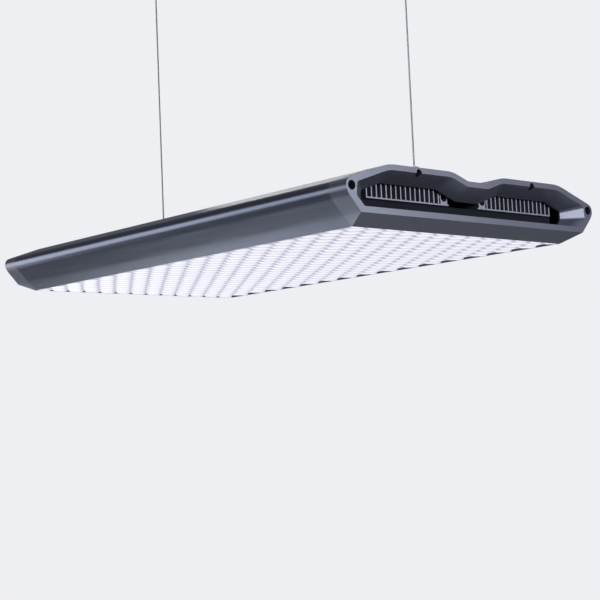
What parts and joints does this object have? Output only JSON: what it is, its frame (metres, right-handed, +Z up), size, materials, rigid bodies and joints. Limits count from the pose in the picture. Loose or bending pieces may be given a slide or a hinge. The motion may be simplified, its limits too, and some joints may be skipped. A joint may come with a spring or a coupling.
{
  "type": "led aquarium light",
  "caption": "Hanging aquarium light: a double-hump housing with open finned ends, a lit lens panel beneath, and wire suspensions with release grippers.",
  "frame": {"origin": "midway between the two ceiling fittings, on the ceiling plane that their bases are screwed to", "axes": "+X along the light's length, towards the end shown with its open window; +Y across it; +Z up to the ceiling"},
  "size_m": [0.45, 0.26, 0.298],
  "materials": {
    "ball_steel": "polished",
    "ceiling_base": "zinc plated",
    "ceiling_cap": "satin nickel",
    "components": "black",
    "control_board": "green solder mask",
    "end_cap": "satin, dark slate grey",
    "gasket": "foam",
    "gland_plastic": "moulded black",
    "gland_rubber": "matt",
    "gripper_metal": "nickel plated",
    "hanger_metal": "nickel plated",
    "heat_sink": "satin grey anodised",
    "housing": "satin anodised, dark slate grey",
    "led_board": "white solder mask on an aluminium core",
    "led_far_red": "clear window",
    "led_rgb": "clear window",
    "led_white": "phosphor window",
    "optic_panel": "opal moulded lenses, lit from behind",
    "plunger_metal": "nickel-plated, worn",
    "reflector": "white",
    "screw_black": "black oxide",
    "screw_steel": "zinc plated",
    "spring_steel": "bright",
    "standoff": "machined",
    "thermal_pad": "matt",
    "tray": "fine grain",
    "wire_steel": "stranded"
  },
  "bodies": {
    "light": {"board_screws_back": "screw_steel", "board_screws_front": "screw_steel", "ceiling_base_left": "ceiling_base", "ceiling_base_right": "ceiling_base", "ceiling_cap_left": "ceiling_cap", "ceiling_cap_right": "ceiling_cap", "control_board": "control_board", "control_parts": "components", "control_screws": "screw_steel", "control_standoffs": "standoff", "end_cap_left": "end_cap", "end_cap_right": "end_cap", "end_cap_screws_left": "screw_black", "end_cap_screws_right": "screw_black", "far_red_leds_back": "led_far_red", "far_red_leds_front": "led_far_red", "gland_body": "gland_plastic", "gland_locknut": "gland_plastic", "gland_nut": "gland_plastic", "gland_seal": "gland_rubber", "gripper_balls_left": "ball_steel", "gripper_balls_right": "ball_steel", "gripper_body_left": "gripper_metal", "gripper_body_right": "gripper_metal", "gripper_spring_left": "spring_steel", "gripper_spring_right": "spring_steel", "hanger_nut_left": "hanger_metal", "hanger_nut_right": "hanger_metal", "hanger_stud_left": "hanger_metal", "hanger_stud_right": "hanger_metal", "heat_sink_back": "heat_sink", "heat_sink_front": "heat_sink", "led_board_back": "led_board", "led_board_front": "led_board", "led_tray": "tray", "lens_panel": "optic_panel", "panel_gasket": "gasket", "reflector": "reflector", "rgb_leds_back": "led_rgb", "rgb_leds_front": "led_rgb", "suspension_wire_left": "wire_steel", "suspension_wire_right": "wire_steel", "thermal_pad_back": "thermal_pad", "thermal_pad_front": "thermal_pad", "top_housing": "housing", "white_leds_back": "led_white", "white_leds_front": "led_white", "wire_stop_left": "wire_steel", "wire_stop_right": "wire_steel"},
    "plunger_left": {"gripper_plunger_left": "plunger_metal"},
    "plunger_right": {"gripper_plunger_right": "plunger_metal"}
  },
  "joints": [
    {"name": "gripper_plunger_left_press", "type": "slide", "parent": "light", "child": "plunger_left", "axis": [0, 0, -1], "range_m": [0, 0.0018], "stiffness_N_per_m": 400, "springref_m": -0.004, "deforming": ["gripper_spring_left"]},
    {"name": "gripper_plunger_right_press", "type": "slide", "parent": "light", "child": "plunger_right", "axis": [0, 0, -1], "range_m": [0, 0.0018], "stiffness_N_per_m": 400, "springref_m": -0.004, "deforming": ["gripper_spring_right"]}
  ]
}
